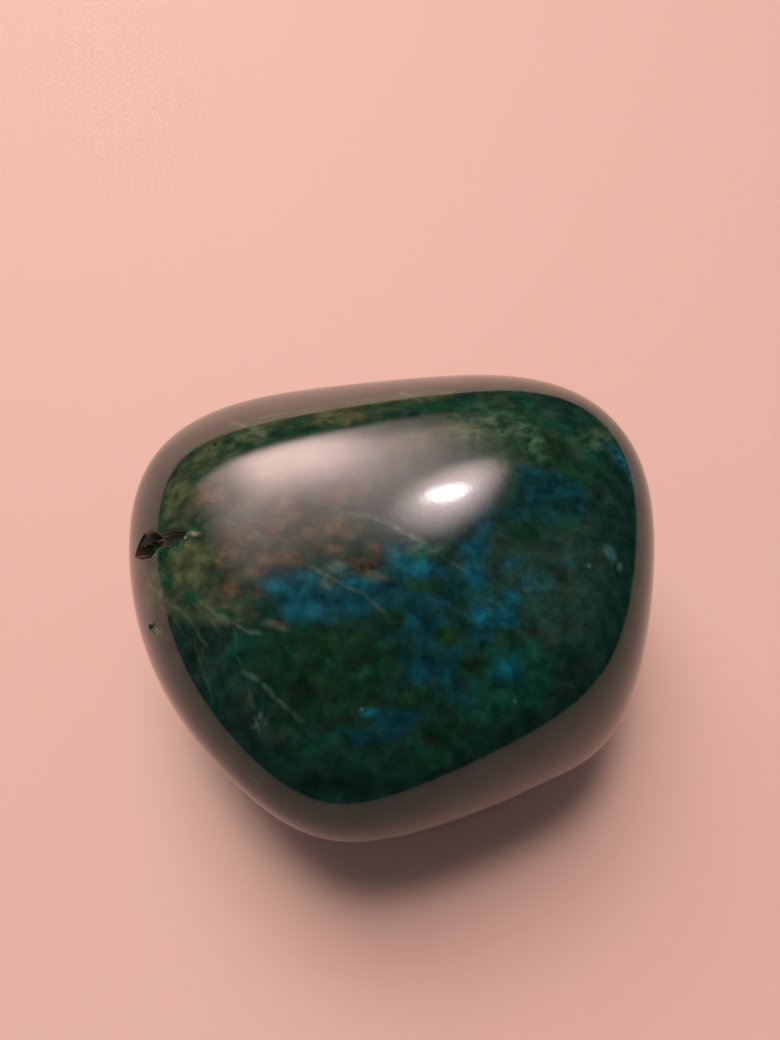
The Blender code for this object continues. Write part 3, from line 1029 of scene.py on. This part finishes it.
def soft_panel(panel, strength, distance=LIGHT_DISTANCE):
    """A light whose brightness fades towards its edges, as light through a curtain does."""
    lamp, bench = aimed_light(
        panel.name, panel.bearing, panel.tilt, distance, panel.width, panel.height, panel.turn
    )
    split = bench.add("ShaderNodeSeparateXYZ")
    bench.plug(split.inputs[0], bench.add("ShaderNodeNewGeometry").outputs["Parametric"])
    across, up = split.outputs["X"], split.outputs["Y"]
    if panel.fades:
        right, left, lower, upper = panel.fades
        share = bench.step(across, 0.0, right)
        share = bench.maths("MULTIPLY", share, bench.step(across, 1.0 - left, 1.0, 1.0, 0.0))
        share = bench.maths("MULTIPLY", share, bench.step(up, 0.0, lower))
        share = bench.maths("MULTIPLY", share, bench.step(up, 1.0 - upper, 1.0, 1.0, 0.0))
    else:
        squares = [bench.maths("POWER", bench.maths("SUBTRACT", way, 0.5), 2.0) for way in (across, up)]
        share = bench.step(bench.maths("SQRT", bench.maths("ADD", *squares)), 0.10, 0.50, 1.0, 0.0)
    emission = lamp.data.node_tree.nodes["Emission"]
    bench.plug(emission.inputs["Color"], panel.tint)
    bench.plug(emission.inputs["Strength"], share)
    lamp.data.energy = strength * panel.share * panel.width * panel.height * math.pi
    return lamp


CAMERA_PLACE = Vector((-0.05, -37.93, 82.58))  # millimetres
NEAREST_SEEN = 0.005  # metres in front of the camera


class CHRYSOCOLLA_OT_build_stage(bpy.types.Operator):
    """Builds the plain floor, the lights and the camera"""

    bl_idname = "chrysocolla.build_stage"
    bl_label = "Build the Stage"
    bl_options = {"REGISTER", "UNDO"}

    def execute(self, context):
        scene = context.scene
        stage = scene.chrysocolla_stage
        floor = floor_object(stage)
        scene.collection.objects.link(floor)
        hidden = [soft_panel(panel, stage.ceiling_strength, CEILING_DISTANCE) for panel in CEILING_PANELS]
        for lamp in hidden:
            lamp.visible_glossy = False  # they light the stone without showing in the polish
        shown = [soft_panel(panel, stage.window_strength) for panel in WINDOW_PANELS]
        shown.append(soft_panel(LAMP_PANEL, stage.lamp_strength))
        for lamp in shown:
            lamp.visible_diffuse = False  # they show in the polish without lighting the stone
        for lamp in (*shown, *hidden):
            scene.collection.objects.link(lamp)
        world = bpy.data.worlds.new("dim_room")
        world.use_nodes = True
        background = world.node_tree.nodes["Background"]
        background.inputs["Color"].default_value = ROOM_TINT
        world.cycles_visibility.glossy = False
        background.inputs["Strength"].default_value = stage.room_strength
        scene.world = world
        camera = bpy.data.cameras.new("camera")
        camera.lens = stage.lens
        camera.clip_start = NEAREST_SEEN
        viewer = bpy.data.objects.new("camera", camera)
        viewer.location = CAMERA_PLACE * MM
        viewer.rotation_euler = (math.pi / 2.0 - stage.look_down, 0.0, 0.0)
        scene.collection.objects.link(viewer)
        scene.camera = viewer
        scene.view_settings.view_transform = "Standard"
        return {"FINISHED"}



class CHRYSOCOLLA_PT_specimen(bpy.types.Panel):
    """Settings and steps of the chrysocolla specimen"""

    bl_idname = "CHRYSOCOLLA_PT_specimen"
    bl_label = "Chrysocolla Specimen"
    bl_space_type = "VIEW_3D"
    bl_region_type = "UI"
    bl_category = "Chrysocolla"

    def draw(self, context):
        scene = context.scene
        for title, settings in (
            ("Shape", scene.chrysocolla_shape),
            ("Colours", scene.chrysocolla_colours),
            ("Finish", scene.chrysocolla_finish),
            ("Stage", scene.chrysocolla_stage),
        ):
            box = self.layout.box()
            box.label(text=title)
            for name in type(settings).__annotations__:
                box.prop(settings, name)
        self.layout.operator(CHRYSOCOLLA_OT_build_stone.bl_idname)
        self.layout.operator(CHRYSOCOLLA_OT_build_stage.bl_idname)


SETTINGS = {
    "chrysocolla_shape": StoneShapeSettings,
    "chrysocolla_colours": StoneColourSettings,
    "chrysocolla_finish": StoneFinishSettings,
    "chrysocolla_stage": StageSettings,
}
CLASSES = (
    *SETTINGS.values(),
    CHRYSOCOLLA_OT_build_stone,
    CHRYSOCOLLA_OT_build_stage,
    CHRYSOCOLLA_PT_specimen,
)


def register():
    for kind in CLASSES:
        bpy.utils.register_class(kind)
    for name, settings in SETTINGS.items():
        setattr(bpy.types.Scene, name, PointerProperty(type=settings))


def unregister():
    for name in SETTINGS:
        delattr(bpy.types.Scene, name)
    for kind in reversed(CLASSES):
        bpy.utils.unregister_class(kind)


def main():
    register()
    bpy.ops.chrysocolla.build_stage()
    bpy.ops.chrysocolla.build_stone()


if __name__ == "__main__":
    main()
